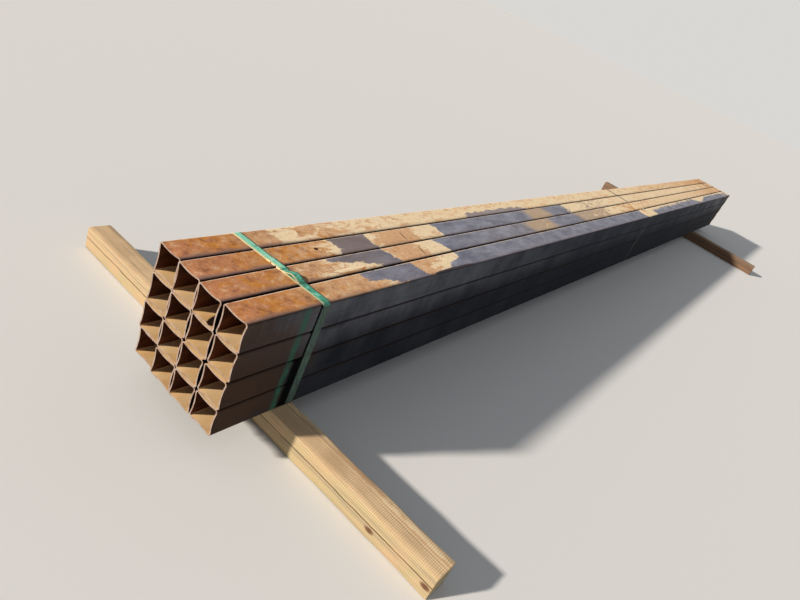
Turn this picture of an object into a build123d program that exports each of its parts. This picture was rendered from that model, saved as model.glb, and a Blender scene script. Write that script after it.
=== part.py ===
from build123d import *
import math
import os

# Frame: X along the tubes, Y across the bundle, Z up, origin on the floor under the middle.
# The front end is the one at the lowest X.

# Tubes: hot formed square section, one standard mill length
tube_side = 101.6
tube_wall = 4.8
tube_corner = 10.0
tube_length = 7315.0
tube_name = "tube_row{row}_column{column}"

# Dish: the saw cut lets each wall spring inwards, deepest at the cut edge
dish_depth = 4.2
dish_length = 72.0
dish_knee_share = 0.45
dish_knee_depth_share = 0.3

# Stack: rows lie on each other, row 1 on top, column 1 on the left seen from the front end
rows = 4
columns = 4
column_play = 0.5
split_after_column = 3
split_gaps = (2.5, 1.0, 2.0, 1.2)
row_insets = (0.0, 1.2, 0.4, 0.8)
end_stagger = 1.8
column_stagger_shares = (0.7, 0.0, -0.7, 0.6)
row_stagger_shares = (0.3, 0.1, -0.3, -0.2)

# Bearers: rough sawn timbers across the bundle
bearer_size = 96.0
bearer_length = 1829.0
bearer_edge = 3.0
bearer_front_from_end = 283.0
bearer_rear_from_end = 890.0

# Straps: flat steel band pulled round the whole stack and closed by a crimped seal on top
band_width = 32.0
band_thickness = 0.8
thin_band_width = 19.0
thin_band_thickness = 0.6
strap_front_from_end = 292.0
strap_middle_share = 0.53
strap_rear_from_end = 290.0
strap_front_skew = 4.0
strap_middle_skew = -5.0
strap_rear_skew = -1.4

# Seals and the tails that stand out of them
seal_wall = 1.0
seal_length_share = 1.9
seal_play = 0.15
crimp_pairs = 2
crimp_bite_share = 0.14
tail_lift_share = 0.13
tail_straight = 4.0
tail_front_length = 78.0
tail_middle_length = 112.0
tail_rear_length = 66.0
seal_front_from_middle = 14.0
seal_middle_from_middle = -36.0
seal_rear_from_middle = 62.0

# Groove that the loaded band presses into the bearer beneath it
groove_play = 0.4

# Sizes that follow
row_width = columns * tube_side + (columns - 2) * column_play + max(split_gaps)
stack_height = rows * tube_side
stack_left = row_width / 2
stack_bottom = bearer_size
stack_top = stack_bottom + stack_height
stack_middle = stack_bottom + stack_height / 2
front_end = -tube_length / 2
wall_corner = tube_corner - tube_wall


def turned(x, y, quarter):
    """Point of a section turned clockwise by quarters of a turn."""
    return Vector(x, y, 0).rotate(Axis.Z, -90 * quarter)


def tube_section(station, side, corner, dish):
    """Rounded square with every wall bowed inwards by the dish, at one station along the tube."""
    half = side / 2
    flat = half - corner
    bend = flat + corner * math.sin(math.pi / 4)
    with BuildSketch(Plane.YZ.offset(station)) as section:
        with BuildLine():
            for quarter in range(4):
                start = turned(-flat, half, quarter)
                stop = turned(flat, half, quarter)
                if dish > 0:
                    ThreePointArc(start, turned(0, half - dish, quarter), stop)
                else:
                    Line(start, stop)
                ThreePointArc(stop, turned(bend, bend, quarter), turned(half, flat, quarter))
        make_face()
    return section.sketch


def dish_stations(end):
    """Distances from the tube's middle with the dish there, from the straight part to one end."""
    cut = tube_length / 2
    knee = cut - dish_length * dish_knee_share
    return (
        (end * (cut - dish_length), 0.0),
        (end * knee, dish_depth * dish_knee_depth_share),
        (end * cut, dish_depth),
    )


def tube_body(side, corner, mode):
    """Straight middle of a section with a dished length at each end."""
    straight = tube_section(0, side, corner, 0.0)
    extrude(straight, amount=tube_length / 2 - dish_length, both=True, mode=mode)
    for end in (-1, 1):
        sections = [tube_section(x, side, corner, dish) for x, dish in dish_stations(end)]
        loft(sections, ruled=True, mode=mode)


# Tube
with BuildPart() as tube:
    tube_body(tube_side, tube_corner, Mode.ADD)
    tube_body(tube_side - 2 * tube_wall, wall_corner, Mode.SUBTRACT)


def tube_place(row, column):
    """Place of one tube's middle, counted from row 1 and column 1."""
    seams = min(column, split_after_column) - 1
    split = split_gaps[row - 1] if column > split_after_column else 0.0
    left = stack_left - row_insets[row - 1] - (column - 1) * tube_side - seams * column_play - split
    share = column_stagger_shares[column - 1] + row_stagger_shares[row - 1]
    return Location((end_stagger * share, left - tube_side / 2, stack_top - (row - 0.5) * tube_side))


# Stack of tubes
os.makedirs("parts", exist_ok=True)
for row in range(1, rows + 1):
    for column in range(1, columns + 1):
        with BuildPart() as placed:
            with Locations(tube_place(row, column)):
                add(tube.part)
        placed.part.label = tube_name.format(row=row, column=column)
        export_step(placed.part, f"parts/{placed.part.label}.step")


def band_profile(thickness):
    """Band's run round the stack, seen along the tubes."""
    with Locations((0, stack_middle)):
        RectangleRounded(
            row_width + 2 * thickness,
            stack_height + 2 * thickness,
            tube_corner + thickness,
        )
        RectangleRounded(row_width, stack_height, tube_corner, mode=Mode.SUBTRACT)


def tail_profile(thickness, width, seal_middle, tail_length):
    """Upper layer of the band, through the seal and out as an arched tail."""
    layer = stack_top + 1.5 * thickness
    seal_length = width * seal_length_share
    tail_start = seal_middle - seal_length / 2 - tail_straight
    tail_middle = tail_start - tail_length / 2
    tail_end = tail_start - tail_length
    with BuildLine() as path:
        Line((seal_middle + seal_length / 2, layer), (tail_start, layer))
        Spline(
            (tail_start, layer),
            (tail_middle, layer + tail_length * tail_lift_share),
            (tail_end, layer),
            tangents=((-1, 0), (-1, -0.35)),
        )
    trace(path.line, line_width=thickness)


def across(from_end, skew, side=0.0):
    """Place on the floor at some distance to the side, turned about the vertical by the skew."""
    slip = side * math.tan(math.radians(skew))
    return Location((front_end + from_end - slip, side, 0), (0, 0, skew))


def crimps(place, width):
    """Notches that the crimping jaws bite through the seal and both layers of the band."""
    bite = math.sqrt(2) * width * crimp_bite_share
    with BuildSketch(Plane.XY.offset(stack_top)) as bites:
        with Locations(place):
            with GridLocations(width, width * seal_length_share / (crimp_pairs + 1), 2, crimp_pairs):
                Rectangle(bite, bite, rotation=45)
    return bites.sketch


def strap(width, thickness, from_end, skew, seal_middle, tail_length):
    """Closed band with its tail, slewed by the skew and lying flat on every side."""
    reach = row_width + stack_height
    with BuildPart() as band:
        with BuildSketch(Plane.YZ.offset(front_end + from_end)):
            band_profile(thickness)
            tail_profile(thickness, width, seal_middle, tail_length)
        extrude(amount=reach / 2, both=True)
        with BuildSketch(Plane.XY):
            with Locations(across(from_end, skew)):
                Rectangle(width, 2 * reach)
        extrude(amount=2 * reach, mode=Mode.INTERSECT)
        bites = crimps(across(from_end, skew, seal_middle), width)
        extrude(bites, amount=2 * thickness, mode=Mode.SUBTRACT)
    return band.part


def seal(width, thickness, from_end, skew, seal_middle):
    """Channel folded over both layers of the band, with rounded shoulders and crimped edges."""
    inside = width + 2 * seal_play
    height = 2 * thickness + seal_wall
    place = across(from_end, skew, seal_middle)
    top = place.position + (0, 0, stack_top)
    along = Plane(top, x_dir=Plane(place).x_dir, z_dir=-Plane(place).y_dir)
    with BuildPart() as sleeve:
        with BuildSketch(along) as channel:
            Rectangle(inside + 2 * seal_wall, height, align=(Align.CENTER, Align.MIN))
            fillet(channel.vertices().group_by(Axis.Y)[-1], radius=seal_wall)
            Rectangle(inside, 2 * thickness, align=(Align.CENTER, Align.MIN), mode=Mode.SUBTRACT)
        extrude(amount=width * seal_length_share / 2, both=True)
        extrude(crimps(place, width), amount=height, mode=Mode.SUBTRACT)
    return sleeve.part


def bearer(from_end):
    """Sawn timber across the stack, with its four long edges worn off."""
    with BuildPart() as timber:
        with BuildSketch(Plane.XY):
            with Locations((front_end + from_end, 0)):
                Rectangle(bearer_size, bearer_length)
        extrude(amount=bearer_size)
        chamfer(timber.edges().filter_by(Axis.Y), length=bearer_edge)
    return timber.part


def strapping(name, width, thickness, from_end, skew, seal_middle, tail_length):
    """Strap and seal of one place along the stack, each written as a part."""
    band = strap(width, thickness, from_end, skew, seal_middle, tail_length)
    band.label = f"strap_{name}"
    export_step(band, f"parts/{band.label}.step")
    sleeve = seal(width, thickness, from_end, skew, seal_middle)
    sleeve.label = f"seal_{name}"
    export_step(sleeve, f"parts/{sleeve.label}.step")


# Straps and seals
strapping(
    "front",
    band_width,
    band_thickness,
    strap_front_from_end,
    strap_front_skew,
    seal_front_from_middle,
    tail_front_length,
)
strapping(
    "middle",
    thin_band_width,
    thin_band_thickness,
    tube_length * strap_middle_share,
    strap_middle_skew,
    seal_middle_from_middle,
    tail_middle_length,
)
strapping(
    "rear",
    thin_band_width,
    thin_band_thickness,
    tube_length - strap_rear_from_end,
    strap_rear_skew,
    seal_rear_from_middle,
    tail_rear_length,
)

# Front bearer, with the groove of the front strap
with BuildPart() as bearer_front:
    add(bearer(bearer_front_from_end))
    with BuildSketch(Plane.XY.offset(bearer_size)):
        with Locations(across(strap_front_from_end, strap_front_skew)):
            Rectangle(band_width + 2 * groove_play, row_width + 4 * groove_play)
    extrude(amount=-band_thickness, mode=Mode.SUBTRACT)
bearer_front.part.label = "bearer_front"
export_step(bearer_front.part, "parts/bearer_front.step")

# Rear bearer
with BuildPart() as bearer_rear:
    add(bearer(tube_length - bearer_rear_from_end))
bearer_rear.part.label = "bearer_rear"
export_step(bearer_rear.part, "parts/bearer_rear.step")
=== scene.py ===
"""The looks of a strapped bundle of square steel tubes that lies on two sawn timber bearers.

Lengths are metres in the frame's own axes: X along the tubes from the front end, Y across the
bundle towards column 1, Z up from the floor.
"""

import logging
import math
from collections.abc import Callable, Sequence
from dataclasses import dataclass, replace
from enum import Enum
from functools import partial

import bmesh
import bpy
from mathutils import Euler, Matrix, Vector, noise


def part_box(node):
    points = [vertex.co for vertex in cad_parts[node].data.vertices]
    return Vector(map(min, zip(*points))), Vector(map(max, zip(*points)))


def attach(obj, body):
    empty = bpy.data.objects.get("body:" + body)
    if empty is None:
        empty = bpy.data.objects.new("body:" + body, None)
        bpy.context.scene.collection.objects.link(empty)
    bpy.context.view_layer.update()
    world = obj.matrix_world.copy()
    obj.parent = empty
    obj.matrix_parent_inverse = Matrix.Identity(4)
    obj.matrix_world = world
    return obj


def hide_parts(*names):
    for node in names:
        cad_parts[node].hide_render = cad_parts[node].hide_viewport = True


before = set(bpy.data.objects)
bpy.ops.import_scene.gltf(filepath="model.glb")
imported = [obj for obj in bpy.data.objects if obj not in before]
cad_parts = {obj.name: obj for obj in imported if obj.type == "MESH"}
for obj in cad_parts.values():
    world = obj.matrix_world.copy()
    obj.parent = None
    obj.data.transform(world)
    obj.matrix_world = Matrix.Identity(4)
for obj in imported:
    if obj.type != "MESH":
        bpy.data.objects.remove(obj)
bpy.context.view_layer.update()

MM = 0.001

# Two places this near to each other count as one.
CLOSE = 0.01 * MM

ROWS = 4
COLUMNS = 4

# The black band on the right side reaches up to the top of this row.
SOOTY_ROW = 3

# A new colour ramp comes with this many stops.
RAMP_START_STOPS = 2

# Settings that repeat: a range eased at both ends, and a mix of colours.
SMOOTH = {"interpolation_type": "SMOOTHSTEP"}
RGBA = {"data_type": "RGBA"}

BMesh = bmesh.types.BMesh
Material = bpy.types.Material
Piece = bpy.types.Object
Socket = bpy.types.NodeSocket
AddNode = Callable[..., Socket]

log = logging.getLogger("tube_bundle")


class Slot(Enum):
    """The record's material slots of the pieces that are modelled here."""

    TUBE = "tube_steel"
    TIMBER = "bearer_timber"


class Side(Enum):
    """The two ends of a length, as signs along its axis."""

    LOW = -1
    HIGH = 1


class Layer(Enum):
    """Measures that a tube's points carry for its finishes."""

    HEIGHT = "height_from_axis"
    ACROSS = "across_from_axis"
    FROM_END = "from_nearer_end"


def linear(colour: str) -> tuple[float, float, float, float]:
    """Turns an sRGB hex colour to linear light.

    Args:
        colour: Six hex digits after a hash sign.

    Returns:
        Red, green and blue in linear light, and an alpha of 1.
    """
    shares = [int(colour[i : i + 2], 16) / 255 for i in (1, 3, 5)]
    light = [s / 12.92 if s <= 0.04045 else ((s + 0.055) / 1.055) ** 2.4 for s in shares]
    return (*light, 1.0)


def add_node(
    tree: bpy.types.NodeTree,
    kind: str,
    inputs: dict[str, object] | Sequence = (),
    stops: Sequence = (),
    **settings,
) -> Socket:
    """Adds one shader node with its settings and links. A colour is given as sRGB hex.

    Args:
        tree: The node tree that gets the node.
        kind: The node's type after "ShaderNode".
        inputs: The sockets or values that feed its live inputs, by name, or as a list in the
            order that Blender shows. For a range that is the value, from min, from max, to min
            and to max, for a mix the factor, A and B, and for noise the vector, scale, detail
            and roughness.
        stops: The places and colours of a colour ramp.
        settings: The node's own properties.

    Returns:
        The node's first live output. Its node holds the others.
    """
    made = tree.nodes.new("ShaderNode" + kind)
    for name, value in settings.items():
        setattr(made, name, value)
    for count, (place, colour) in enumerate(stops):
        ramp = made.color_ramp.elements
        stop = ramp[count] if count < RAMP_START_STOPS else ramp.new(place)
        stop.position = place
        stop.color = linear(colour) if isinstance(colour, str) else colour
    live = [socket for socket in made.inputs if socket.enabled]
    for key, value in inputs.items() if isinstance(inputs, dict) else enumerate(inputs):
        socket = live[key] if isinstance(key, int) else next(s for s in live if s.name == key)
        if isinstance(value, Socket):
            tree.links.new(value, socket)
        else:
            socket.default_value = linear(value) if isinstance(value, str) else value
    return next((s for s in made.outputs if s.enabled), None)


def new_material(name: str) -> tuple[Material, AddNode]:
    """Makes an empty node material.

    Args:
        name: The material's name.

    Returns:
        The material, and add_node for its tree.
    """
    material = bpy.data.materials.new(name)
    material.use_nodes = True
    material.node_tree.nodes.clear()
    return material, partial(add_node, material.node_tree)


def finish_surface(
    add: AddNode,
    colour: Socket,
    roughness: Socket | float,
    height: Socket,
    relief: float,
    metallic: Socket | float = 0.0,
    sheen: float = 0.5,
) -> None:
    """Ends a material in one shader with relief.

    Args:
        add: Adds a node to the material.
        colour: The base colour.
        roughness: The roughness, as a socket or a constant.
        height: The relief's height as a share.
        relief: The relief's full depth in metres.
        metallic: The metallic share, as a socket or a constant.
        sheen: The level of mirror reflection, less for a dusty surface.
    """
    bump = add("Bump", {"Height": height, "Distance": relief, "Strength": 1.0})
    shader = add(
        "BsdfPrincipled",
        {
            "Base Color": colour,
            "Roughness": roughness,
            "Metallic": metallic,
            "Specular IOR Level": sheen,
            "Normal": bump,
        },
    )
    add("OutputMaterial", [shader])


@dataclass(frozen=True)
class Weather:
    """What lies on one tube's top at one distance from the front end, each as a share."""

    at_mm: float
    scale: float
    flakes: float
    gold: float
    lean: float = 0.0


@dataclass(frozen=True)
class Mark:
    """One scratch, spot or stain: a ragged ellipse of one colour, turned about the vertical."""

    place: tuple[float, float, float]
    reach: tuple[float, float, float]
    turn_degrees: float
    colour: str
    ragged: float = 0.6

    def mask(self, add: AddNode, place: Socket, grain: Socket) -> Socket:
        """Masks the mark.

        Args:
            add: Adds a node to the material.
            place: Object coordinates.
            grain: The pattern that frays the mark's edge.

        Returns:
            The mask, 1 on the mark.
        """
        own = add(
            "Mapping",
            {
                "Vector": place,
                "Location": self.place,
                "Rotation": (0.0, 0.0, math.radians(self.turn_degrees)),
                "Scale": self.reach,
            },
            vector_type="TEXTURE",
        )
        away = add("VectorMath", [own], operation="LENGTH").node.outputs["Value"]
        away = add("Math", [grain, self.ragged, away], operation="MULTIPLY_ADD")
        return add("MapRange", [away, 1.05 + 0.5 * self.ragged, 0.85 + 0.5 * self.ragged], **SMOOTH)


@dataclass(frozen=True)
class WeatheredSkin:
    """Hot formed tube left outdoors: blue-grey mill scale, and tan rust film where it has gone.

    On top the film is orange-brown at the front end and pale tan beyond the first strap, with
    ragged cream edges where scale is lifting. The sides keep their dark scale and thin seams, with
    painted shade between the tubes and on the side at negative Y, and one rounded edge of each of
    row 1's tops has a painted highlight.
    """

    name: str
    weather: tuple[Weather, ...]
    marks: tuple[Mark, ...]
    front: float
    length: float
    half_side: float
    corner: float
    spray_at: float
    spray_width: float
    spray_side: float
    row3_top: float
    wander_reach: float = 0.11

    # Each pattern's size is that of its largest patches, across the way that it is drawn out.
    # Real grit and roll lines are finer. They are drawn as coarse as they need to show.
    grit_size: float = 3.846 * MM
    line_size: float = 3.03 * MM
    roll_size: float = 6.25 * MM
    fray_size: float = 25.0 * MM
    flake_size: float = 37.04 * MM
    cloud_size: float = 62.5 * MM
    wander_size: float = 111.1 * MM
    bloom_size: float = 41.67 * MM
    mottle_size: float = 30.3 * MM
    worn_size: float = 33.33 * MM
    side_cloud_size: float = 166.7 * MM
    run_size: float = 29.41 * MM
    mist_size: float = 11.11 * MM
    fog_size: float = 16.67 * MM

    film: tuple[tuple[float, str], ...] = (
        (0.0, "#C3855E"),
        (0.025, "#C98C62"),
        (0.040, "#CA9A6C"),
        (0.048, "#D6A87F"),
        (0.085, "#E0B48A"),
        (0.145, "#E0B48A"),
        (0.20, "#F4D3A8"),
        (0.75, "#F8DCB6"),
        (0.96, "#E4B88C"),
    )
    gold: str = "#D08A3C"
    mottle: str = "#7B5140"
    cream: str = "#FAE6C2"
    cream_dull: str = "#DDBB92"
    lip_grey: str = "#8A6E66"
    scale_dark: str = "#686D7E"
    scale_light: str = "#999EB0"
    scale_brown: str = "#84726A"
    scale_tan: str = "#CDB08A"
    side_dark: str = "#42444B"
    side_light: str = "#74767D"
    # The far and low colours are dark scale and painted shade, on the side at negative Y only.
    far_scale_and_shade: str = "#262C38"
    side_brown: str = "#4A382C"
    low_scale_and_shade: str = "#1A1D24"
    side_run: str = "#6C7A72"
    seam_rust: str = "#33221A"
    gap_shade_colour: str = "#150E0B"
    sheltered: str = "#DDB680"
    wear_and_highlight: str = "#EDD8C4"
    overspray: str = "#356E5C"
    black_band_and_strap_shadow: str = "#030506"

    def material(self) -> Material:
        """Builds the skin's material.

        Returns:
            The material for the outside of one column's tubes.
        """
        material, add = new_material(self.name)
        place = add("TexCoord").node.outputs["Object"]
        height = add("Attribute", attribute_name=Layer.HEIGHT.value).node.outputs["Fac"]
        grain = add("TexNoise", [place, 1 / self.grit_size, 5.0, 0.6])
        top_colour, top_scale, top_relief = self._top(add, place, grain)
        side_colour, side_relief = self._sides(add, place, height)
        flat = self.half_side - self.corner
        level = add("SeparateXYZ", [place]).node.outputs["Z"]

        # Only row 1 has a weathered top. The other tops show at their edges alone.
        row1_middle = self.row3_top + 3.0 * self.half_side
        high = add("Math", [level, row1_middle], operation="GREATER_THAN")
        rounded = add(
            "MapRange",
            [height, flat + 0.6 * self.corner, self.half_side - 0.06 * self.corner],
            **SMOOTH,
        )
        level_top = add(
            "Math", [height, self.half_side - 0.03 * self.corner], operation="GREATER_THAN"
        )
        upward = add("Mix", [high, level_top, rounded], data_type="FLOAT")
        top_colour = add("Mix", [high, self.sheltered, top_colour], **RGBA)
        colour = add("Mix", [upward, side_colour, top_colour], **RGBA)

        # A pale, patchy line runs along the rounded edge at higher Y of each of row 1's tops:
        # partly wear, partly a painted highlight.
        wear_and_highlight_band = add(
            "MapRange",
            [height, flat + 0.5 * self.corner, flat + 0.8 * self.corner],
            **SMOOTH,
        )
        wear_and_highlight_end = add("MapRange", [height, self.half_side, flat + 0.92 * self.corner], **SMOOTH)
        patchy = add("TexNoise", [place, 1 / self.worn_size, 5.0])
        patchy = add("MapRange", [patchy, 0.34, 0.52])
        across = add("Attribute", attribute_name=Layer.ACROSS.value).node.outputs["Fac"]
        highlight_edge = add("Math", [across, 0.0], operation="LESS_THAN")
        line = add("Math", [wear_and_highlight_band, wear_and_highlight_end], operation="MULTIPLY")
        for share in (patchy, highlight_edge, high):
            line = add("Math", [line, share], operation="MULTIPLY")
        colour = add("Mix", [line, colour, self.wear_and_highlight], **RGBA)
        scale = add("Mix", [upward, 0.7, top_scale], data_type="FLOAT")
        relief = add("Mix", [upward, side_relief, top_relief], data_type="FLOAT")
        roughness = add("MapRange", [scale, 0.0, 1.0, 0.95, 0.55])
        metallic = add("MapRange", [scale, 0.0, 1.0, 0.0, 0.15])
        finish_surface(add, colour, roughness, relief, 0.3 * MM, metallic, sheen=0.02)
        return material

    def _top(self, add: AddNode, place: Socket, grain: Socket) -> tuple[Socket, Socket, Socket]:
        """Draws the weathered top: film, gold, scale, cream flakes and single marks.

        Args:
            add: Adds a node to the material.
            place: Object coordinates.
            grain: The finest pattern.

        Returns:
            The colour, the share of scale and the relief.
        """
        across = add("Attribute", attribute_name=Layer.ACROSS.value).node.outputs["Fac"]
        along = add("SeparateXYZ", [place])
        drawn = add("Mapping", {"Vector": place, "Scale": (0.5, 1.0, 1.0)})
        wander = add("TexNoise", [drawn, 1 / self.wander_size, 2.0])
        ragged = add("TexNoise", [drawn, 1 / self.fray_size, 8.0, 0.68])
        shifted = add("Math", [wander, self.wander_reach, along], operation="MULTIPLY_ADD")
        start = self.front + 0.5 * self.wander_reach
        share = add("MapRange", [shifted, start, start + self.length])
        stops = tuple(
            (w.at_mm * MM / self.length, (w.scale, w.flakes, w.gold, 0.5 + 0.5 * w.lean))
            for w in self.weather
        )
        cover = add("ValToRGB", [share], stops)
        parts = add("SeparateColor", [cover]).node.outputs
        film = self._film(add, place, share, parts["Blue"], grain)
        lean = add("Math", [cover.node.outputs["Alpha"], 0.5], operation="SUBTRACT")
        lean = add("Math", [lean, across, parts["Red"]], operation="MULTIPLY_ADD")
        amount = add("Math", [ragged, 0.5, lean], operation="MULTIPLY_ADD")
        scale = add("MapRange", [amount, 0.695, 0.755], **SMOOTH)
        rim = add("MapRange", [amount, 0.42, 0.7], **SMOOTH)
        flaky = add(
            "TexNoise",
            {
                "Vector": drawn,
                "Scale": 1 / self.flake_size,
                "Detail": 10.0,
                "Roughness": 0.72,
                "Distortion": 0.5,
            },
        )
        flake = add("Math", [rim, 0.13, flaky], operation="MULTIPLY_ADD")
        flake = add("Math", [parts["Green"], 0.5, flake], operation="MULTIPLY_ADD")
        flake = add("MapRange", [flake, 0.66, 0.77], **SMOOTH)
        dulled = add("MapRange", [grain, 0.46, 0.66])
        cream = add("Mix", [dulled, self.cream, self.cream_dull], **RGBA)
        colour = add("Mix", [flake, film, cream], **RGBA)
        cloud = add("TexNoise", [drawn, 1 / self.cloud_size, 7.0, 0.6])
        scale_tone = add("Math", [grain, 0.55, cloud], operation="MULTIPLY_ADD")
        scale_tone = add("Math", [ragged, 0.3, scale_tone], operation="MULTIPLY_ADD")
        scale_tone = add("MapRange", [scale_tone, 0.76, 1.14])
        scale_colour = add("Mix", [scale_tone, self.scale_dark, self.scale_light], **RGBA)
        brown = add("MapRange", [parts["Blue"], 0.0, 1.0, 0.05, 0.8])
        beyond = add("MapRange", [share, 0.14, 0.2])
        rusted = add("Mix", [beyond, self.scale_brown, self.scale_tan], **RGBA)
        scale_colour = add("Mix", [brown, scale_colour, rusted], **RGBA)
        chipped = add("MapRange", [flaky, 0.66, 0.72, 0.0, 0.7])
        scale_colour = add("Mix", [chipped, scale_colour, self.cream], **RGBA)
        colour = add("Mix", [scale, colour, scale_colour], **RGBA)
        for mark in self.marks:
            colour = add("Mix", [mark.mask(add, place, ragged), colour, mark.colour], **RGBA)
        lip = add("Math", [cloud, 0.9, across], operation="MULTIPLY_ADD")
        lip = add("MapRange", [lip, 0.95, 1.38, 0.0, 0.9], **SMOOTH)
        near = add("MapRange", [share, 0.04, 0.08, 1.0, 0.3])
        lip = add("Math", [lip, near], operation="MULTIPLY")
        lines = add("Mapping", {"Vector": place, "Scale": (0.05, 1.0, 1.0)})
        line = add("TexNoise", [lines, 1 / self.line_size, 4.0])
        line = add("MapRange", [line, 0.55, 0.75, 0.0, 0.35])
        for mask, paint in ((lip, self.lip_grey), (line, self.mottle)):
            colour = add("Mix", [mask, colour, paint], **RGBA)
        relief = add("Math", [scale, 0.5, flaky], operation="MULTIPLY_ADD")
        relief = add("Math", [grain, 0.35, relief], operation="MULTIPLY_ADD")
        return colour, scale, relief

    def _film(
        self, add: AddNode, place: Socket, share: Socket, gold: Socket, grain: Socket
    ) -> Socket:
        """Draws the bare rust film with its gold bloom and brown mottles.

        Args:
            add: Adds a node to the material.
            place: Object coordinates.
            share: The place along the tube as a share of its length.
            gold: The share of gold bloom.
            grain: The finest pattern.

        Returns:
            The film's colour.
        """
        colour = add("ValToRGB", [share], self.film)
        blotch = add("TexNoise", [place, 1 / self.bloom_size, 6.0, 0.6])
        gilt = add("Math", [gold, 0.45, blotch], operation="MULTIPLY_ADD")
        gilt = add("MapRange", [gilt, 0.6, 0.84, 0.0, 0.85], **SMOOTH)
        patch = add("TexNoise", [place, 1 / self.mottle_size, 8.0, 0.66])
        mottle = add("MapRange", [patch, 0.5, 0.66, 0.0, 0.68])
        near = add("MapRange", [share, 0.04, 0.1, 1.0, 0.35])
        mottle = add("Math", [mottle, near], operation="MULTIPLY")
        pale = add("MapRange", [patch, 0.45, 0.28, 0.0, 0.5])
        speck = add("MapRange", [grain, 0.5, 0.72, 0.0, 0.6])
        for mask, paint in (
            (gilt, self.gold),
            (mottle, self.mottle),
            (pale, self.cream),
            (speck, self.mottle),
        ):
            colour = add("Mix", [mask, colour, paint], **RGBA)
        return colour

    def _sides(self, add: AddNode, place: Socket, height: Socket) -> tuple[Socket, Socket]:
        """Draws the upright faces: dark scale, run marks, thin seams, overspray, a black band, and
        painted shade and shadow.

        Args:
            add: Adds a node to the material.
            place: Object coordinates.
            height: Height above the tube's own axis.

        Returns:
            The colour and the relief.
        """
        axes = add("SeparateXYZ", [place]).node.outputs
        cloud = add("TexNoise", [place, 1 / self.side_cloud_size, 6.0])
        runs = add("Mapping", {"Vector": place, "Scale": (1.0, 1.0, 0.07)})
        run = add("TexNoise", [runs, 1 / self.run_size, 6.0, 0.6])
        rolled = add("Mapping", {"Vector": place, "Scale": (0.03, 1.0, 1.0)})
        roll = add("TexNoise", [rolled, 1 / self.roll_size, 3.0])
        tone = add("Math", [run, 0.28, cloud], operation="MULTIPLY_ADD")
        tone = add("Math", [roll, 0.2, tone], operation="MULTIPLY_ADD")
        tone = add("MapRange", [tone, 0.54, 0.94])
        colour = add("Mix", [tone, self.side_dark, self.side_light], **RGBA)
        from_end = add("Attribute", attribute_name=Layer.FROM_END.value).node.outputs["Fac"]

        # The side at negative Y gets darker away from the ends and towards the floor: dark scale,
        # and painted shade.
        painted_shade_side = add("Math", [axes["Y"], 0.0], operation="LESS_THAN")
        distant_painted_shade = add("MapRange", [from_end, 0.5, 2.6, 0.0, 0.8])
        distant_painted_shade = add("Math", [distant_painted_shade, painted_shade_side], operation="MULTIPLY")
        fade_top = self.row3_top + 2.2 * self.half_side
        fade_end = self.row3_top - 0.1 * self.half_side
        low_painted_shade = add("MapRange", [axes["Z"], fade_top, fade_end, 0.0, 0.8])
        low_painted_shade = add("Math", [low_painted_shade, painted_shade_side], operation="MULTIPLY")
        warm = add("Math", [cloud, -0.9, from_end], operation="MULTIPLY_ADD")
        warm = add("MapRange", [warm, -0.12, -0.42, 0.0, 0.85], **SMOOTH)
        run_off = add("MapRange", [axes["Z"], self.row3_top + 40 * MM, self.row3_top + 170 * MM])
        wet = add("MapRange", [run, 0.5, 0.72, 0.0, 0.15])
        wet = add("Math", [wet, run_off], operation="MULTIPLY")
        seam = add("Math", [height], operation="ABSOLUTE")
        edge_start = self.half_side - 0.7 * self.corner
        edge_end = self.half_side - 0.35 * self.corner
        seam = add("MapRange", [seam, edge_start, edge_end, 0.0, 0.6], **SMOOTH)
        spray = self._spray(add, place, axes, self.spray_at, self.spray_width)
        mist = add("Mapping", {"Vector": place, "Scale": (1.0, 1.0, 0.25)})
        mist = add("TexNoise", [mist, 1 / self.mist_size, 4.0])
        mist = add("MapRange", [mist, 0.36, 0.62, 0.15, 0.8])
        spray = add("Math", [spray, mist], operation="MULTIPLY")

        # A black band lies between the green band and the strap in the lower rows, and a thin black
        # line just ahead of the strap is its painted shadow.
        band_and_strap_shadow = self._spray(
            add, place, axes, self.spray_at + 1.35 * self.spray_width, 1.4 * self.spray_width
        )
        low = add("MapRange", [axes["Z"], self.row3_top + 3 * MM, self.row3_top - 3 * MM])
        band_and_strap_shadow = add("Math", [band_and_strap_shadow, low], operation="MULTIPLY")
        strap_shadow = self._spray(
            add, place, axes, self.spray_at + 1.95 * self.spray_width, 0.35 * self.spray_width
        )
        band_and_strap_shadow = add("Math", [band_and_strap_shadow, strap_shadow], operation="MAXIMUM")

        # The walls between two tubes are painted almost black: painted shade in the gaps.
        gap_shade = add("Math", [axes["Y"], 0.0, abs(self.spray_side)], operation="COMPARE")
        for mask, paint in (
            (distant_painted_shade, self.far_scale_and_shade),
            (low_painted_shade, self.low_scale_and_shade),
            (warm, self.side_brown),
            (wet, self.side_run),
            (seam, self.seam_rust),
            (spray, self.overspray),
            (band_and_strap_shadow, self.black_band_and_strap_shadow),
            (gap_shade, self.gap_shade_colour),
        ):
            colour = add("Mix", [mask, colour, paint], **RGBA)
        relief = add("Math", [roll, 0.3, cloud], operation="MULTIPLY_ADD")
        return colour, relief

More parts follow.
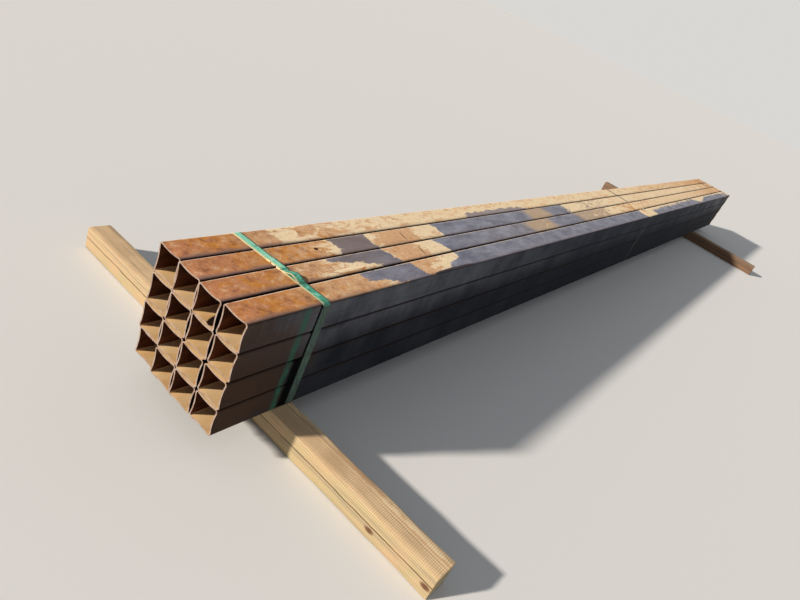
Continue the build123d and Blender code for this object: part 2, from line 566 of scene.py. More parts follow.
    def _spray(
        self, add: AddNode, place: Socket, axes: bpy.types.NodeOutputs, centre: float, width: float
    ) -> Socket:
        """Masks one upright band on the bundle's right side only.

        Args:
            add: Adds a node to the material.
            place: Object coordinates.
            axes: The same coordinates taken apart.
            centre: The band's middle along the tubes.
            width: The band's width.

        Returns:
            The mask.
        """
        offset = add("Math", [axes["X"], centre], operation="SUBTRACT")
        offset = add("Math", [offset], operation="ABSOLUTE")
        fog = add("TexNoise", [place, 1 / self.fog_size, 4.0])
        offset = add("Math", [fog, 0.4 * width, offset], operation="MULTIPLY_ADD")
        band = add("MapRange", [offset, 0.92 * width, 0.42 * width], **SMOOTH)
        side = add("Math", [axes["Y"], self.spray_side], operation="LESS_THAN")
        return add("Math", [band, side], operation="MULTIPLY")


@dataclass(frozen=True)
class BoreRust:
    """Bore of a tube kept out of the rain: red-brown rust on the walls, tan dust on the floor."""

    name: str = "steel_bore_rust"
    wall: str = "#36190F"
    wall_light: str = "#66391F"
    dust: str = "#EDBD80"
    dust_light: str = "#FFDCA8"
    stains: tuple[Mark, ...] = ()
    floor_height: float = -44.0 * MM

    # Real grit is finer. It is drawn as coarse as it needs to show.
    grit_size: float = 3.846 * MM
    blotch_size: float = 38.46 * MM
    fray_size: float = 13.33 * MM

    def material(self) -> Material:
        """Builds the bore's material.

        Returns:
            The material for the inside of every tube.
        """
        material, add = new_material(self.name)
        place = add("TexCoord").node.outputs["Object"]
        height = add("Attribute", attribute_name=Layer.HEIGHT.value).node.outputs["Fac"]
        streaks = add("Mapping", {"Vector": place, "Scale": (0.3, 1.0, 1.0)})
        blotch = add("TexNoise", [streaks, 1 / self.blotch_size, 6.0])
        grain = add("TexNoise", [place, 1 / self.grit_size, 3.0])
        tone = add("MapRange", [blotch, 0.35, 0.7])
        wall = add("Mix", [tone, self.wall, self.wall_light], **RGBA)
        dust = add("Mix", [tone, self.dust, self.dust_light], **RGBA)
        low = add("Math", [blotch, 0.008, height], operation="MULTIPLY_ADD")
        low = add(
            "MapRange",
            [low, self.floor_height + 7 * MM, self.floor_height + 2 * MM],
            **SMOOTH,
        )
        from_end = add("Attribute", attribute_name=Layer.FROM_END.value).node.outputs["Fac"]
        blown = add("MapRange", [from_end, 0.12, 0.19, 1.0, 0.0], **SMOOTH)
        low = add("Math", [low, blown], operation="MULTIPLY")
        colour = add("Mix", [low, wall, dust], **RGBA)
        fray = add("TexNoise", [place, 1 / self.fray_size, 5.0, 0.65])
        for stain in self.stains:
            colour = add("Mix", [stain.mask(add, place, fray), colour, stain.colour], **RGBA)
        relief = add("Math", [blotch, 0.6, grain], operation="MULTIPLY_ADD")
        finish_surface(add, colour, 0.9, relief, 0.2 * MM, sheen=0.15)
        return material


@dataclass(frozen=True)
class SawCutSteel:
    """Freshly sawn steel with a light pink flash of rust: pale, satin, with fine saw lines."""

    name: str = "saw_cut_steel"
    bright: str = "#AC988A"
    flash: str = "#8C6A57"
    flash_size: float = 18.18 * MM

    # Real saw lines are closer together. These are coarse enough to show from near by.
    line_spacing: float = 1.6 * MM

    def material(self) -> Material:
        """Builds the cut ends' material.

        Returns:
            The material for the sawn end faces.
        """
        material, add = new_material(self.name)
        place = add("TexCoord").node.outputs["Object"]
        mottle = add("TexNoise", [place, 1 / self.flash_size, 4.0])
        lines = add("Mapping", {"Vector": place, "Scale": (1.0, 0.05, 1.0)})
        line = add("TexNoise", [lines, 1 / self.line_spacing])
        tone = add("MapRange", [mottle, 0.42, 0.72])
        colour = add("Mix", [tone, self.bright, self.flash], **RGBA)
        finish_surface(add, colour, 0.5, line, 0.08 * MM, 0.35)
        return material


@dataclass(frozen=True)
class SprayedStrapPaint:
    """Mint green paint sprayed thinly over a steel strap: chalky, patchy, pale at its front edge
    from wear and a painted highlight, and grey with painted shade on its upright sides.
    """

    name: str
    centre: float
    skew: float
    width: float
    top: float
    mint: str = "#78CBAA"
    mint_light: str = "#97E0C2"
    deep: tuple[tuple[float, str], ...] = (
        (0.36, "#0B5843"),
        (0.47, "#1F8268"),
        (0.56, "#33A384"),
        (0.68, "#8AD6BC"),
    )
    chip: str = "#E6E4CC"
    # The greys of the upright sides are thin paint and painted shade.
    grey: str = "#2C4138"
    grey_light: str = "#48675B"
    # The pale edge is wear and a painted highlight. The dark steel is bare steel, and at the rear
    # edge painted shadow.
    edge: str = "#F0DFAE"
    steel: str = "#2C3A38"
    knocked_at: float = 0.02
    patch_size: float = 16.67 * MM
    cloud_size: float = 50.0 * MM
    chip_size: float = 6.667 * MM

    # Real streaks are finer. They are drawn as coarse as they need to show.
    streak_size: float = 6.667 * MM

    def material(self) -> Material:
        """Builds the painted strap's material.

        Returns:
            The material for the front strap or its seal.
        """
        material, add = new_material(self.name)
        place = add("TexCoord").node.outputs["Object"]
        axes = add("SeparateXYZ", [place]).node.outputs
        slope = math.tan(self.skew)
        offset = add("Math", [axes["Y"], slope, axes["X"]], operation="MULTIPLY_ADD")
        offset = add("Math", [offset, self.centre], operation="SUBTRACT")
        streaks = add("Mapping", {"Vector": place, "Scale": (1.0, 0.25, 0.25)})
        brushed = add("TexNoise", [streaks, 1 / self.streak_size, 4.0])
        cloud = add("TexNoise", [place, 1 / self.cloud_size, 4.0])
        tone = add("MapRange", [brushed, 0.35, 0.65])
        colour = add("Mix", [tone, self.mint, self.mint_light], **RGBA)

        # The paint is thicker and deeper from the seal towards the right.
        deeper = add("Math", [cloud, 0.24, axes["Y"]], operation="MULTIPLY_ADD")
        deeper = add("MapRange", [deeper, 0.12, 0.085, 0.0, 0.85], **SMOOTH)
        patch = add("TexNoise", [place, 1 / self.patch_size, 5.0, 0.65])
        deep = add("ValToRGB", [patch], self.deep)
        colour = add("Mix", [deeper, colour, deep], **RGBA)

        # On the upright sides it is thin and grey: thin paint, and painted shade.
        upright = add("MapRange", [axes["Z"], self.top - 2 * MM, self.top - 12 * MM])
        shaded = add("Mix", [tone, self.grey, self.grey_light], **RGBA)
        colour = add("Mix", [upright, colour, shaded], **RGBA)
        bare = add("MapRange", [cloud, 0.62, 0.72, 0.0, 0.7])

        # Pale chips crowd about the place that was knocked.
        chips = add("TexNoise", [place, 1 / self.chip_size, 3.0])
        chips = add("MapRange", [chips, 0.6, 0.66, 0.0, 0.85])
        knocked = add("Math", [axes["Y"], self.knocked_at], operation="SUBTRACT")
        knocked = add("Math", [knocked], operation="ABSOLUTE")
        knocked = add("MapRange", [knocked, 0.075, 0.045, 0.12, 1.0])
        chips = add("Math", [chips, knocked], operation="MULTIPLY")

        # The rear edge is dark, bare steel and painted shadow, and the front edge is pale, wear and
        # a painted highlight, both on top only.
        half = 0.5 * self.width
        rear_bare_and_shadow = add("MapRange", [offset, half - 5 * MM, half - 3 * MM])
        rear_bare_and_shadow = add("Math", [rear_bare_and_shadow, upright], operation="SUBTRACT", use_clamp=True)
        pale_edge_and_highlight = add("Math", [brushed, -3 * MM, offset], operation="MULTIPLY_ADD")
        pale_edge_and_highlight = add("MapRange", [pale_edge_and_highlight, 5 * MM - half, 3 * MM - half], **SMOOTH)
        level = add("MapRange", [axes["Y"], -0.17, -0.02, 0.35, 1.0])
        level = add("Math", [level, upright], operation="SUBTRACT", use_clamp=True)
        pale_edge_and_highlight = add("Math", [pale_edge_and_highlight, level], operation="MULTIPLY")
        for mask, paint in (
            (bare, self.steel),
            (chips, self.chip),
            (rear_bare_and_shadow, self.steel),
            (pale_edge_and_highlight, self.edge),
        ):
            colour = add("Mix", [mask, colour, paint], **RGBA)
        finish_surface(add, colour, 0.6, brushed, 0.12 * MM)
        return material


@dataclass(frozen=True)
class BareStrapSteel:
    """Steel strap gone tan with light rust: dull, pale on top and finely streaked along it, with
    painted shade on its upright sides.
    """

    top: float
    name: str = "bare_strap_steel"
    tan: str = "#E0C49C"
    pale: str = "#F4E2C0"
    dark: str = "#1E1917"
    cloud_size: float = 71.43 * MM

    # Real streaks are finer. They are drawn as coarse as they need to show.
    streak_size: float = 5.0 * MM

    def material(self) -> Material:
        """Builds the bare strap's material.

        Returns:
            The material for the middle and rear straps and their seals.
        """
        material, add = new_material(self.name)
        place = add("TexCoord").node.outputs["Object"]
        streaks = add("Mapping", {"Vector": place, "Scale": (1.0, 0.15, 0.15)})
        streak = add("TexNoise", [streaks, 1 / self.streak_size, 4.0])
        cloud = add("TexNoise", [place, 1 / self.cloud_size, 4.0])
        axes = add("SeparateXYZ", [place]).node.outputs
        # Dark on the upright sides, which is painted shade, and darker towards higher Y; tan on
        # top.
        tone = add("Math", [cloud, 0.1, axes["Y"]], operation="MULTIPLY_ADD")
        tone = add("MapRange", [tone, 0.08, 0.03])
        level = add("MapRange", [axes["Z"], self.top - 8 * MM, self.top - 2 * MM])
        tone = add("Math", [tone, level], operation="MULTIPLY")
        colour = add("Mix", [tone, self.dark, self.tan], **RGBA)
        bright = add("MapRange", [streak, 0.48, 0.66, 0.0, 0.8])
        bright = add("Math", [bright, tone], operation="MULTIPLY")
        colour = add("Mix", [bright, colour, self.pale], **RGBA)
        finish_surface(add, colour, 0.55, streak, 0.08 * MM, 0.35)
        return material


@dataclass(frozen=True)
class SawnPine:
    """Rough sawn softwood: pale yellow, with ring grain, blade marks, knots and grey dirt.

    Its own colours are a fresh timber's. An older one has turned brown and grey.
    """

    name: str
    pith: tuple[float, float]
    lean: tuple[float, float]
    ring_spacing: float = 5.5 * MM
    blade_spacing: float = 7.5 * MM
    early: str = "#B4A882"
    late: str = "#9F8258"
    # The top's colours are paler than the sides': painted light.
    early_top: str = "#EBD2A8"
    late_top: str = "#C89A6C"
    blush: str = "#BC9976"
    dirt: str = "#7C7062"
    knot: str = "#5E3D26"
    crack: str = "#3A281C"
    crack_height: float = 52.0 * MM
    top_height: float = 96.0 * MM
    crack_wave: float = 333.3 * MM
    cloud_size: float = 142.9 * MM
    grime_size: float = 16.67 * MM
    knot_spacing: float = 111.1 * MM

    # Real fibres are finer. They are drawn as coarse as they need to show.
    fibre_size: float = 2.381 * MM

    # A wave texture runs through one period in this length at a scale of one.
    wave_period: float = 2 * math.pi / 20

    def material(self) -> Material:
        """Builds the timber's material.

        Returns:
            The material for one bearer.
        """
        material, add = new_material(self.name)
        place = add("TexCoord").node.outputs["Object"]
        axis = add(
            "Mapping",
            {
                "Vector": place,
                "Location": (-self.pith[0], 0.0, -self.pith[1]),
                "Rotation": (self.lean[0], 0.0, self.lean[1]),
            },
        )
        rings = add(
            "TexWave",
            {
                "Vector": axis,
                "Scale": self.wave_period / self.ring_spacing,
                "Distortion": 3.0,
                "Detail": 3.0,
                "Detail Scale": 0.6,
            },
            wave_type="RINGS",
            rings_direction="Y",
        ).node.outputs["Fac"]
        fibre_map = add("Mapping", {"Vector": place, "Scale": (1.0, 0.04, 1.0)})
        fibre = add("TexNoise", [fibre_map, 1 / self.fibre_size, 4.0])
        cloud = add("TexNoise", [place, 1 / self.cloud_size, 5.0])
        blade = add(
            "TexWave",
            {
                "Vector": place,
                "Scale": self.wave_period / self.blade_spacing,
                "Distortion": 2.2,
                "Detail": 2.0,
                "Detail Scale": 0.3,
            },
            bands_direction="Y",
        ).node.outputs["Fac"]
        grain = add("Math", [fibre, 0.5, rings], operation="MULTIPLY_ADD")
        grain = add("MapRange", [grain, 0.35, 1.25, 0.0, 0.75])
        level = add("SeparateXYZ", [place]).node.outputs["Z"]
        # The top is paler than the sides: painted light.
        painted_light_top = add("MapRange", [level, self.top_height - 4 * MM, self.top_height - 2 * MM])
        early = add("Mix", [painted_light_top, self.early, self.early_top], **RGBA)
        late = add("Mix", [painted_light_top, self.late, self.late_top], **RGBA)
        sawn = add("MapRange", [blade, 0.55, 1.0, 0.0, 0.3])
        grain = add("Math", [grain, sawn], operation="ADD", use_clamp=True)
        colour = add("Mix", [grain, early, late], **RGBA)
        blush = add("MapRange", [cloud, 0.45, 0.65, 0.0, 0.6])
        grime = add("TexNoise", [fibre_map, 1 / self.grime_size, 6.0, 0.7])
        grime = add("MapRange", [grime, 0.5, 0.72, 0.0, 0.7])
        knots = add("Mapping", {"Vector": place, "Scale": (1.0, 0.55, 1.0)})
        knot = add("TexVoronoi", {"Vector": knots, "Scale": 1 / self.knot_spacing})
        knot = add("MapRange", [knot, 0.13, 0.06], **SMOOTH)
        wavy = add("Mapping", {"Vector": place, "Scale": (0.0, 1.0, 0.0)})
        wavy = add("TexNoise", [wavy, 1 / self.crack_wave, 8.0, 0.6])
        split = add("Math", [wavy, 24 * MM, level], operation="MULTIPLY_ADD")
        split = add("Math", [split, self.crack_height + 12 * MM], operation="SUBTRACT")
        split = add("Math", [split], operation="ABSOLUTE")
        split = add("Math", [cloud, 4 * MM, split], operation="MULTIPLY_ADD")
        split = add("MapRange", [split, 5.0 * MM, 3.2 * MM, 0.0, 0.9], **SMOOTH)
        for mask, paint in (
            (blush, self.blush),
            (grime, self.dirt),
            (knot, self.knot),
            (split, self.crack),
        ):
            colour = add("Mix", [mask, colour, paint], **RGBA)
        relief = add("Math", [blade, 0.8, fibre], operation="MULTIPLY_ADD")
        finish_surface(add, colour, 0.85, relief, 0.5 * MM)
        return material


@dataclass(frozen=True)
class StudioFloor:
    """Plain matt pale floor."""

    name: str = "studio_floor"
    colour: str = "#E4E3E1"
    roughness: float = 0.9

    def material(self) -> Material:
        """Builds the floor's material.

        Returns:
            The material of the floor.
        """
        material, add = new_material(self.name)
        shader = add("BsdfPrincipled", {"Base Color": self.colour, "Roughness": self.roughness})
        add("OutputMaterial", [shader])
        return material


# Tops of the four columns as rows of Weather's values, front end first.
COLUMN_WEATHER = (
    (
        (0, 0.0, 0.0, 0.15),
        (190, 0.0, 0.0, 0.6),
        (300, 0.0, 0.05, 0.1),
        (365, 0.0, 0.10, 0.1),
        (395, 0.0, 0.60, 0.0),
        (465, 0.0, 0.56, 0.0),
        (510, 0.0, 0.38, 0.3),
        (690, 0.0, 0.40, 0.35),
        (800, 0.0, 0.54, 0.1),
        (1500, 0.0, 0.52, 0.2),
        (1620, 0.38, 0.40, 0.3, 0.7),
        (2180, 0.38, 0.40, 0.3, 0.7),
        (2350, 0.0, 0.48, 0.3),
        (4000, 0.0, 0.48, 0.3),
        (5200, 0.0, 0.20, 0.35),
        (7315, 0.0, 0.15, 0.35),
    ),
    (
        (0, 0.0, 0.0, 0.0),
        (220, 0.0, 0.0, 0.45),
        (420, 0.0, 0.05, 0.55),
        (520, 0.0, 0.34, 0.5),
        (570, 0.30, 0.34, 0.8),
        (610, 0.62, 0.2, 0.9),
        (790, 0.60, 0.2, 0.9),
        (830, 0.10, 0.46, 0.1),
        (900, 0.0, 0.12, 0.1),
        (1060, 0.0, 0.16, 0.1),
        (1090, 0.05, 0.58, 0.1),
        (1220, 0.20, 0.58, 0.0),
        (1270, 0.72, 0.1, 0.0),
        (2130, 0.72, 0.05, 0.0),
        (2200, 0.58, 0.3, 0.9),
        (2400, 0.58, 0.3, 0.9),
        (2460, 0.70, 0.1, 0.0),
        (2660, 0.66, 0.2, 0.0),
        (2760, 0.38, 0.45, 0.1),
        (3050, 0.46, 0.45, 0.7),
        (3450, 0.44, 0.45, 0.7),
        (3700, 0.05, 0.50, 0.1),
        (6600, 0.0, 0.42, 0.1),
        (7315, 0.0, 0.20, 0.1),
    ),
    (
        (0, 0.0, 0.0, 0.2),
        (160, 0.0, 0.02, 0.55),
        (330, 0.0, 0.08, 0.25),
        (430, 0.0, 0.38, 0.2),
        (520, 0.36, 0.38, 0.5, -0.8),
        (620, 0.52, 0.36, 0.7, -0.8),
        (700, 0.66, 0.16, 0.6, -0.2),
        (790, 0.66, 0.16, 0.4),
        (825, 0.05, 0.22, 0.1),
        (970, 0.0, 0.14, 0.1),
        (1020, 0.10, 0.58, 0.1),
        (1120, 0.30, 0.54, 0.0, -0.5),
        (1170, 0.72, 0.05, 0.0),
        (1980, 0.72, 0.05, 0.1),
        (2040, 0.56, 0.22, 0.9),
        (2270, 0.50, 0.22, 0.9),
        (2330, 0.76, 0.25, 0.0),
        (2690, 0.76, 0.25, 0.0),
        (2770, 0.54, 0.25, 0.9),
        (3200, 0.50, 0.32, 0.9),
        (3600, 0.24, 0.34, 0.5),
        (4600, 0.0, 0.25, 0.1),
        (7315, 0.0, 0.15, 0.1),
    ),
    (
        (0, 0.0, 0.0, 0.1),
        (120, 0.0, 0.03, 0.6),
        (300, 0.0, 0.05, 0.3),
        (500, 0.0, 0.10, 0.25),
        (575, 0.45, 0.10, 0.2, -0.5),
        (660, 0.62, 0.10, 0.2, -0.45),
        (820, 0.62, 0.10, 0.2, 0.2),
        (900, 0.16, 0.16, 0.2, 0.5),
        (960, 0.10, 0.36, 0.1),
        (1010, 0.36, 0.52, 0.0, 0.6),
        (1110, 0.50, 0.50, 0.0, 0.5),
        (1180, 0.74, 0.06, 0.0),
        (3740, 0.74, 0.16, 0.0),
        (3840, 0.26, 0.50, 0.1),
        (3980, 0.30, 0.50, 0.0),
        (4140, 0.54, 0.45, 0.0, 0.35),
        (5590, 0.58, 0.42, 0.0, 0.30),
        (5740, 0.3, 0.4, 0.0, 0.6),
        (6130, 0.6, 0.42, 0.0, 0.4),
        (7150, 0.55, 0.4, 0.0, 0.3),
        (7315, 0.1, 0.2, 0.2),
    ),
)

# Single marks on the tops, by column: metres from the front end, from the column's middle, up.
COLUMN_MARKS = (
    (),
    (
        Mark((0.503, 0.003, 0.0), (0.010, 0.008, 0.05), 10.0, "#4A3020"),
        Mark((0.994, -0.006, 0.0), (0.036, 0.0024, 0.05), 72.0, "#34261F", 0.3),
    ),
    (
        Mark((0.990, -0.010, 0.0), (0.032, 0.0024, 0.05), 70.0, "#34261F", 0.3),
        Mark((0.54, -0.027, 0.0), (0.080, 0.010, 0.05), 0.0, "#FAE2BC", 2.2),
    ),
    (
        Mark((0.455, 0.004, 0.0), (0.024, 0.002, 0.05), 65.0, "#E3CBA0", 0.6),
        Mark((0.330, -0.020, 0.0), (0.020, 0.006, 0.05), 20.0, "#DDB98C", 1.0),
        Mark((1.040, -0.044, 0.0), (0.170, 0.008, 0.05), 0.0, "#363A48", 1.0),
    ),
)

# The dark stain on one bore's floor: metres from the front end, from the bore's middle, up.
BORE_STAIN = Mark((0.033, -0.014, 0.0), (0.034, 0.016, 0.020), 20.0, "#2A170F", 1.3)


def finish_piece(mesh: BMesh, name: str, sharp_degrees: float = 40.0) -> Piece:
    """Turns a finished bmesh to a smooth shaded object at the origin.

    Args:
        mesh: The piece's bmesh, which is freed.
        name: The piece's name.
        sharp_degrees: Edges that turn by more than this stay sharp.

    Returns:
        The new object, linked to the scene.
    """
    for face in mesh.faces:
        face.smooth = True
    data = bpy.data.meshes.new(name)
    mesh.to_mesh(data)
    mesh.free()
    data.set_sharp_from_angle(angle=math.radians(sharp_degrees))
    piece = bpy.data.objects.new(name, data)
    bpy.context.scene.collection.objects.link(piece)
    flatten = piece.modifiers.new("flat_walls", "WEIGHTED_NORMAL")
    flatten.keep_sharp = True
    return piece


@dataclass
class TubeStack:
    """Sixteen square tubes in rows, row 1 on top and column 1 at the highest Y."""

    wall: float = 4.8 * MM
    corner: float = 10.0 * MM
    corner_segments: int = 6
    dish_depth: float = 4.2 * MM
    dish_length: float = 72.0 * MM
    dish_rings: int = 9
    wall_strips: int = 8
    spray_from_end: float = 231.0 * MM
    spray_width: float = 27.0 * MM
    stained_tube: str = "tube_row1_column3"
    set_backs_mm: tuple[tuple[float, ...], ...] = (
        (10.2, 4.5, 1.3, 4.5),
        (7.5, 3.1, 5.0, 5.6),
        (4.1, 2.0, 0.0, 1.0),
        (10.3, 0.7, 0.0, 0.0),
    )

    def build(self) -> list[Piece]:
        """Builds and dresses every tube.

        Returns:
            The tubes, row by row.
        """
        skins = [self._skin(column) for column in range(1, COLUMNS + 1)]
        low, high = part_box(self.stained_tube)
        inwards, across, _ = BORE_STAIN.place
        middle = 0.5 * (low.y + high.y)
        stain = replace(BORE_STAIN, place=(low.x + inwards, middle + across, low.z + self.wall))
        bore = BoreRust(stains=(stain,)).material()
        cut = SawCutSteel().material()
        tubes = []
        for row in range(1, ROWS + 1):
            for column in range(1, COLUMNS + 1):
                node = f"tube_row{row}_column{column}"
                tube = self._tube(node, self.set_backs_mm[row - 1][column - 1] * MM)
                for material in (skins[column - 1], bore, cut):
                    tube.data.materials.append(material)
                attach(tube, "root")
                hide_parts(node)
                tubes.append(tube)
        return tubes

    def _skin(self, column: int) -> Material:
        """Makes the outside finish of one column.

        Args:
            column: The column's number.

        Returns:
            The material.
        """
        low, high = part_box(f"tube_row1_column{column}")
        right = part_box(f"tube_row1_column{COLUMNS}")[0].y
        middle = 0.5 * (low.y + high.y)
        return WeatheredSkin(
            name=f"weathered_steel_column{column}",
            weather=tuple(Weather(*row) for row in COLUMN_WEATHER[column - 1]),
            marks=tuple(
                replace(mark, place=(low.x + mark.place[0], middle + mark.place[1], high.z))
                for mark in COLUMN_MARKS[column - 1]
            ),
            front=low.x,
            length=high.x - low.x,
            half_side=0.5 * (high.z - low.z),
            corner=self.corner,
            spray_at=low.x + self.spray_from_end,
            spray_width=self.spray_width,
            spray_side=right + 0.5 * self.corner,
            row3_top=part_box(f"tube_row{SOOTY_ROW}_column{column}")[1].z,
        ).material()

    def _tube(self, node: str, set_back: float) -> Piece:
        """Models one tube from an outer and an inner sleeve, joined by the sawn rims.

        Args:
            node: The frame's node that the tube stands for.
            set_back: How far the front cut stands behind the node's.

        Returns:
            The tube.
        """
        low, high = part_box(node)
        low.x += set_back
        length = high.x - low.x
        side = high.z - low.z
        mesh = bmesh.new()
        self._sleeve(mesh, length, side, self.corner)
        self._sleeve(mesh, length, side - 2 * self.wall, self.corner - self.wall)
        self._divide(mesh, length, side)
        bore = 0.5 * (side - self.wall)
        inside = [face for face in mesh.faces if max(map(abs, face.calc_center_median().yz)) < bore]
        for face in inside:
            face.material_index = 1
        bmesh.ops.reverse_faces(mesh, faces=inside)
        self._measure(mesh, 0.5 * length, 0.5 * side)
        for vert in mesh.verts:
            self._dish(vert, length, 0.5 * side - self.corner)
        for end in Side:
            edges = [e for e in mesh.edges if e.is_boundary and end.value * e.verts[0].co.x > 0]
            for face in bmesh.ops.bridge_loops(mesh, edges=edges)["faces"]:
                face.material_index = 2
        bmesh.ops.recalc_face_normals(mesh, faces=mesh.faces)
        bmesh.ops.translate(mesh, vec=0.5 * (low + high), verts=mesh.verts)
        return finish_piece(mesh, f"steel_{node}")

    def _sleeve(self, mesh: BMesh, length: float, side: float, corner: float) -> None:
        """Adds one open square sleeve about the X axis, with its long edges rounded.

        Args:
            mesh: The bmesh that gets the sleeve.
            length: The sleeve's length.
            side: Its width across the flats.
            corner: The radius of its long edges.
        """
        verts = bmesh.ops.create_cube(mesh, size=1.0)["verts"]
        bmesh.ops.scale(mesh, vec=(length, side, side), verts=verts)
        faces = {face for vert in verts for face in vert.link_faces}
        ends = [face for face in faces if abs(face.calc_center_median().x) > 0.25 * length]
        bmesh.ops.delete(mesh, geom=ends, context="FACES_ONLY")
        edges = {edge for vert in verts for edge in vert.link_edges}
        bmesh.ops.bevel(
            mesh,
            geom=[edge for edge in edges if edge.calc_length() > 2 * side],
            offset=corner,
            offset_type="OFFSET",
            segments=self.corner_segments,
            profile=0.5,
            affect="EDGES",
            material=-1,
        )

    def _divide(self, mesh: BMesh, length: float, side: float) -> None:
        """Cuts the flat walls to strips, the tube in half and its ends to the dish's rings.

        Args:
            mesh: The two sleeves about the tube's own middle.
            length: The tube's length.
            side: The tube's width across the flats.
        """
        flats = [edge for edge in mesh.edges if 0.5 * side < edge.calc_length() < side]
        bmesh.ops.subdivide_edges(mesh, edges=flats, cuts=self.wall_strips - 1)
        counts = range(1, self.dish_rings + 1)
        rings = [self.dish_length * count / self.dish_rings for count in counts]
        stations = [end.value * (0.5 * length - ring) for end in Side for ring in rings]
        for station in (0.0, *stations):
            bmesh.ops.bisect_plane(
                mesh,
                geom=mesh.verts[:] + mesh.edges[:] + mesh.faces[:],
                plane_co=(station, 0, 0),
                plane_no=(1, 0, 0),
            )

    def _dish(self, vert: bmesh.types.BMVert, length: float, flat: float) -> None:
        """Moves one point of a flat wall inwards, most at the cut and at the wall's middle.

        Args:
            vert: The point, about the tube's own middle.
            length: The tube's length.
            flat: Half the width of the walls' flat part.
        """
        inset = 1 - (0.5 * length - abs(vert.co.x)) / self.dish_length
        across, level = sorted((1, 2), key=lambda axis: abs(vert.co[axis]))
        if inset > 0 and abs(vert.co[across]) < flat:
            share = 1 - (vert.co[across] / flat) ** 2
            vert.co[level] -= math.copysign(self.dish_depth * inset * inset * share, vert.co[level])

    def _measure(self, mesh: BMesh, reach: float, half_side: float) -> None:
        """Writes each point's place within its own tube, before the dish, for the finishes.

        Args:
            mesh: The tube about its own middle.
            reach: Half the tube's length.
            half_side: Half the tube's width across the flats.
        """
        layers = {layer: mesh.verts.layers.float.new(layer.value) for layer in Layer}
        for vert in mesh.verts:
            vert[layers[Layer.HEIGHT]] = vert.co.z
            vert[layers[Layer.ACROSS]] = -vert.co.y / half_side
            vert[layers[Layer.FROM_END]] = reach - abs(vert.co.x)


@dataclass
class Strapping:
    """The three straps and their seals, kept as the frame has them, with their finishes."""

    front_skew_degrees: float = 4.0
    front_width: float = 32.0 * MM

    def build(self) -> list[Piece]:
        """Dresses every strap and seal.

        Returns:
            The straps and seals.
        """
        low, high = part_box("strap_front")
        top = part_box("tube_row1_column1")[1].z
        paint = SprayedStrapPaint(
            name="sprayed_strap_paint",
            centre=0.5 * (low.x + high.x),
            skew=math.radians(self.front_skew_degrees),
            width=self.front_width,
            top=top,
        ).material()
        bare = BareStrapSteel(top=top).material()
        pieces = []
        for place, material in (("front", paint), ("middle", bare), ("rear", bare)):
            for kind in ("strap", "seal"):
                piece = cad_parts[f"{kind}_{place}"]
                piece.data.materials.clear()
                piece.data.materials.append(material)
                pieces.append(piece)
        return pieces


@dataclass
class Bearers:
    """Two rough sawn timbers across the stack, slightly waney and uneven."""

    edge: float = 3.0 * MM
    cuts_across: int = 7
    cuts_along: int = 79
    unevenness: float = 1.4 * MM
    swell_pitch: tuple[int, int, int] = (9, 5, 9)
    swell_share: float = 0.6
    wane_pitch: tuple[int, int, int] = (7, 4, 4)
    wane_least: float = 0.4
    wane_spread: float = 1.2

    def build(self) -> list[Piece]:
        """Builds and dresses both bearers.

        Returns:
            The bearers.
        """
        woods = {
            "bearer_front": SawnPine(name="sawn_pine_pale", pith=(-3.33, 0.13), lean=(0.012, 0.02)),
            "bearer_rear": SawnPine(
                name="sawn_pine_weathered",
                pith=(2.83, -0.04),
                lean=(-0.015, 0.01),
                early="#7A5F48",
                late="#5C402B",
                early_top="#9C8873",
                late_top="#7A6350",
                blush="#7C5C44",
                dirt="#4E443B",
                knot="#3A2519",
                crack="#241812",
            ),
        }
        bearers = []
        for node, wood in woods.items():
            timber = self._timber(node)
            timber.data.materials.append(wood.material())
            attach(timber, "root")
            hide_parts(node)
            bearers.append(timber)
        return bearers

    def _timber(self, node: str) -> Piece:
        """Models one sawn timber inside its node's box.

        Args:
            node: The frame's node that the timber stands for.

        Returns:
            The timber.
        """
        low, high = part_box(node)
        size = high - low
        mesh = bmesh.new()
        bmesh.ops.create_cube(mesh, size=1.0)
        bmesh.ops.scale(mesh, vec=size, verts=mesh.verts)
        bmesh.ops.translate(mesh, vec=0.5 * (low + high), verts=mesh.verts)
        long_edges = [edge for edge in mesh.edges if edge.calc_length() > 0.9 * size.y]
        bmesh.ops.subdivide_edges(mesh, edges=long_edges, cuts=self.cuts_along, use_grid_fill=True)
        for axis in (0, 2):
            across = [
                edge
                for edge in mesh.edges
                if abs(abs((edge.verts[0].co - edge.verts[1].co)[axis]) - size[axis]) < CLOSE
            ]
            bmesh.ops.subdivide_edges(mesh, edges=across, cuts=self.cuts_across, use_grid_fill=True)
        for vert in mesh.verts:
            self._weather(vert, low, high)
        bmesh.ops.recalc_face_normals(mesh, faces=mesh.faces)
        return finish_piece(mesh, f"sawn_{node}")

    def _weather(self, vert: bmesh.types.BMVert, low: Vector, high: Vector) -> None:
        """Draws one point of the timber inwards, most at its edges.

        Args:
            vert: The point.
            low: The box's lowest corner.
            high: The box's highest corner.
        """
        middle = 0.5 * (low + high)
        half = 0.5 * (high - low)
        away = vert.co - middle
        x, y, z = (there * pitch for there, pitch in zip(vert.co, self.swell_pitch))
        swell = 0.5 + 0.5 * noise.noise(Vector((x, y, z + middle.x)))
        turned = zip((vert.co.y, away.x, away.z), self.wane_pitch)
        seed = Vector([there * pitch for there, pitch in turned]) + middle * 3
        wane = 0.5 + 0.5 * noise.noise(seed)
        at_edge = [abs(away[axis]) > half[axis] - CLOSE for axis in (0, 2)]
        if all(at_edge):
            depth = self.edge * (self.wane_least + self.wane_spread * wane)
        else:
            depth = self.unevenness * swell * self.swell_share
        for axis, there in zip((0, 2), at_edge):
            if there and (axis == 0 or all(at_edge)):
                vert.co[axis] -= math.copysign(depth, away[axis])


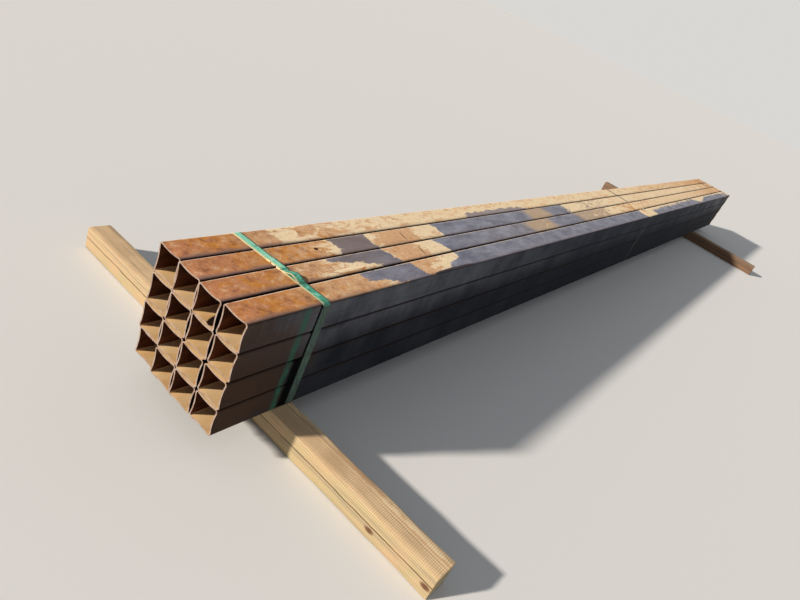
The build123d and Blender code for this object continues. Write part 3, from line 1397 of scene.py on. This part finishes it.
@dataclass
class Studio:
    """Camera, floor and light."""

    eye: tuple[float, float, float] = (-4.6669, -1.0930, 1.4307)
    turn_degrees: tuple[float, float, float] = (60.238, -21.989, -50.679)
    focal_px: float = 621.8
    frame_px: float = 800.0
    sensor_mm: float = 36.0
    floor_reach: float = 60.0
    key_heading: tuple[float, float] = (1.0, -0.53)
    key_elevation_degrees: float = 22.0
    key_strength: float = 5.2
    key_softness_degrees: float = 3.0
    key_colour: str = "#FFF6EA"
    fill_colour: str = "#EEF3FA"
    fill_strength: float = 0.30
    backdrop: str = "#D9D7D4"

    def build(self) -> None:
        """Sets up everything that isn't part of the object."""
        self._camera()
        self._floor()
        self._key()
        self._world()
        bpy.context.scene.view_settings.view_transform = "Standard"

    def _camera(self) -> None:
        """Places the camera at the photograph's point of view."""
        data = bpy.data.cameras.new("camera")
        data.sensor_fit = "HORIZONTAL"
        data.sensor_width = self.sensor_mm
        data.lens = self.focal_px / self.frame_px * self.sensor_mm
        data.clip_end = 2 * self.floor_reach
        camera = bpy.data.objects.new("camera", data)
        camera.location = self.eye
        camera.rotation_euler = Euler([math.radians(angle) for angle in self.turn_degrees], "XYZ")
        bpy.context.scene.collection.objects.link(camera)
        bpy.context.scene.camera = camera

    def _floor(self) -> None:
        """Lays the floor at the bearers' underside."""
        mesh = bmesh.new()
        bmesh.ops.create_grid(mesh, x_segments=1, y_segments=1, size=self.floor_reach)
        floor = finish_piece(mesh, "studio_floor")
        floor.data.materials.append(StudioFloor().material())

    def _key(self) -> None:
        """Hangs the key light, which comes from the front left."""
        data = bpy.data.lights.new("key", "SUN")
        data.energy = self.key_strength
        data.angle = math.radians(self.key_softness_degrees)
        data.color = linear(self.key_colour)[:3]
        fall = math.tan(math.radians(self.key_elevation_degrees)) * math.hypot(*self.key_heading)
        travel = Vector((*self.key_heading, -fall))
        key = bpy.data.objects.new("key", data)
        key.rotation_euler = travel.to_track_quat("-Z", "Y").to_euler()
        bpy.context.scene.collection.objects.link(key)

    def _world(self) -> None:
        """Makes the soft fill, and the pale backdrop that the camera and reflections see."""
        world = bpy.data.worlds.new("studio")
        bpy.context.scene.world = world
        world.use_nodes = True
        world.node_tree.nodes.clear()
        add = partial(add_node, world.node_tree)
        ray = add("LightPath").node.outputs
        seen = add("Math", [ray["Is Camera Ray"], ray["Is Glossy Ray"]], operation="MAXIMUM")
        seen = add("Math", [seen, ray["Is Transmission Ray"]], operation="MAXIMUM")
        fill = add("Background", [self.fill_colour, self.fill_strength])
        backdrop = add("Background", [self.backdrop, 1.0])
        mixed = add("MixShader", [seen, fill, backdrop])
        add("OutputWorld", [mixed])


def main() -> None:
    """Builds the studio and every part of the bundle."""
    logging.basicConfig(level=logging.INFO, format="%(message)s")
    Studio().build()
    for assembly in (TubeStack(), Strapping(), Bearers()):
        for piece in assembly.build():
            faces = len(piece.data.polygons)
            log.info("%s: %s, %d faces", type(assembly).__name__, piece.name, faces)


if __name__ == "__main__":
    main()
